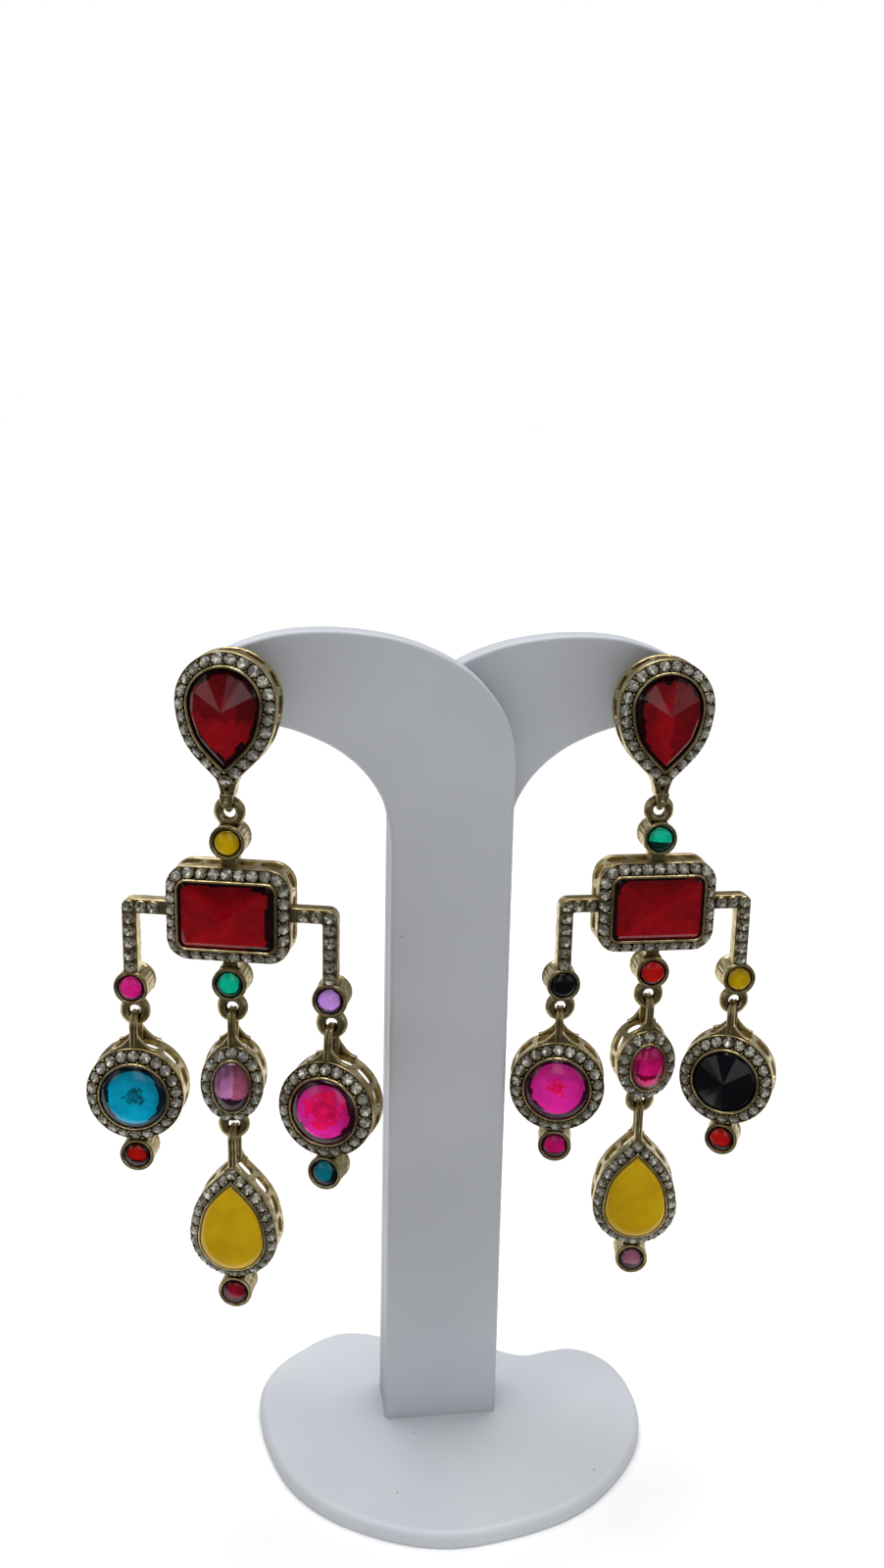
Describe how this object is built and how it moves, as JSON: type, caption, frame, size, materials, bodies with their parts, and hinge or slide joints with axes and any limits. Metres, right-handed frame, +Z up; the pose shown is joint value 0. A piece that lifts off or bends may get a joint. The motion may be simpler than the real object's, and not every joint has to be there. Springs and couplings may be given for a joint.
{
  "type": "earring stand with a pair of chandelier earrings",
  "caption": "White two-armed stand on a kidney-shaped foot, holding a pair of antique-gold chandelier earrings with paved settings and coloured stones.",
  "frame": {"origin": "on the stand's underside, below the middle of the post", "axes": "+Z up the post, -Y out of the earrings' fronts, +X to the right arm"},
  "size_m": [0.1013, 0.0489, 0.1255],
  "materials": {
    "antique_gold": "antiqued plating, polished high spots and dark recesses",
    "white_moulding": "glossy white",
    "ruby_stone": "foil-backed faceted stone",
    "yellow_stone": "foil-backed chaton",
    "green_stone": "foil-backed chaton",
    "pink_stone": "foil-backed chaton",
    "lilac_stone": "foil-backed chaton",
    "aqua_stone": "foil-backed domed stone",
    "hot_pink_stone": "foil-backed domed stone",
    "mauve_stone": "foil-backed domed stone",
    "teal_stone": "foil-backed chaton",
    "red_stone": "foil-backed chaton",
    "crimson_stone": "foil-backed chaton",
    "mustard_stone": "opaque domed stone, smooth",
    "black_stone": "foil-backed domed stone",
    "magenta_stone": "foil-backed domed stone",
    "clear_rhinestone": "foil-backed chatons",
    "rose_stone": "foil-backed chaton"
  },
  "bodies": {
    "stand": {"stand_base": "white_moulding", "stand_front_plate": "white_moulding", "stand_rear_plate": "white_moulding", "left_stud": "antique_gold", "left_stud_stone": "ruby_stone", "left_clutch": "antique_gold", "right_stud": "antique_gold", "right_stud_stone": "ruby_stone", "right_clutch": "antique_gold"},
    "left_chandelier": {"left_frame": "antique_gold", "left_frame_stone": "ruby_stone", "left_cup_stone_top": "yellow_stone", "left_cup_stone_middle": "green_stone", "left_cup_stone_left": "pink_stone", "left_cup_stone_right": "lilac_stone", "left_drop_left": "antique_gold", "left_drop_left_stone": "aqua_stone", "left_drop_left_tip_stone": "red_stone", "left_drop_right": "antique_gold", "left_drop_right_stone": "hot_pink_stone", "left_drop_right_tip_stone": "teal_stone", "left_oval_link": "antique_gold", "left_oval_stone": "mauve_stone", "left_pear_drop": "antique_gold", "left_pear_stone": "mustard_stone", "left_pear_tip_stone": "crimson_stone"},
    "right_chandelier": {"right_frame": "antique_gold", "right_frame_stone": "ruby_stone", "right_cup_stone_top": "green_stone", "right_cup_stone_middle": "red_stone", "right_cup_stone_left": "black_stone", "right_cup_stone_right": "yellow_stone", "right_drop_left": "antique_gold", "right_drop_left_stone": "hot_pink_stone", "right_drop_left_tip_stone": "magenta_stone", "right_drop_right": "antique_gold", "right_drop_right_stone": "black_stone", "right_drop_right_tip_stone": "red_stone", "right_oval_link": "antique_gold", "right_oval_stone": "magenta_stone", "right_pear_drop": "antique_gold", "right_pear_stone": "mustard_stone", "right_pear_tip_stone": "rose_stone"}
  },
  "joints": [
    {"name": "left_swing", "type": "hinge", "parent": "stand", "child": "left_chandelier", "pos_m": [-0.03096, -0.00888, 0.1034], "axis": [0.9681, -0.2504, 0], "range_deg": [-60, 10]},
    {"name": "right_swing", "type": "hinge", "parent": "stand", "child": "right_chandelier", "pos_m": [0.02951, -0.0043, 0.1014], "axis": [1, 0.007, 0], "range_deg": [-60, 45]}
  ]
}
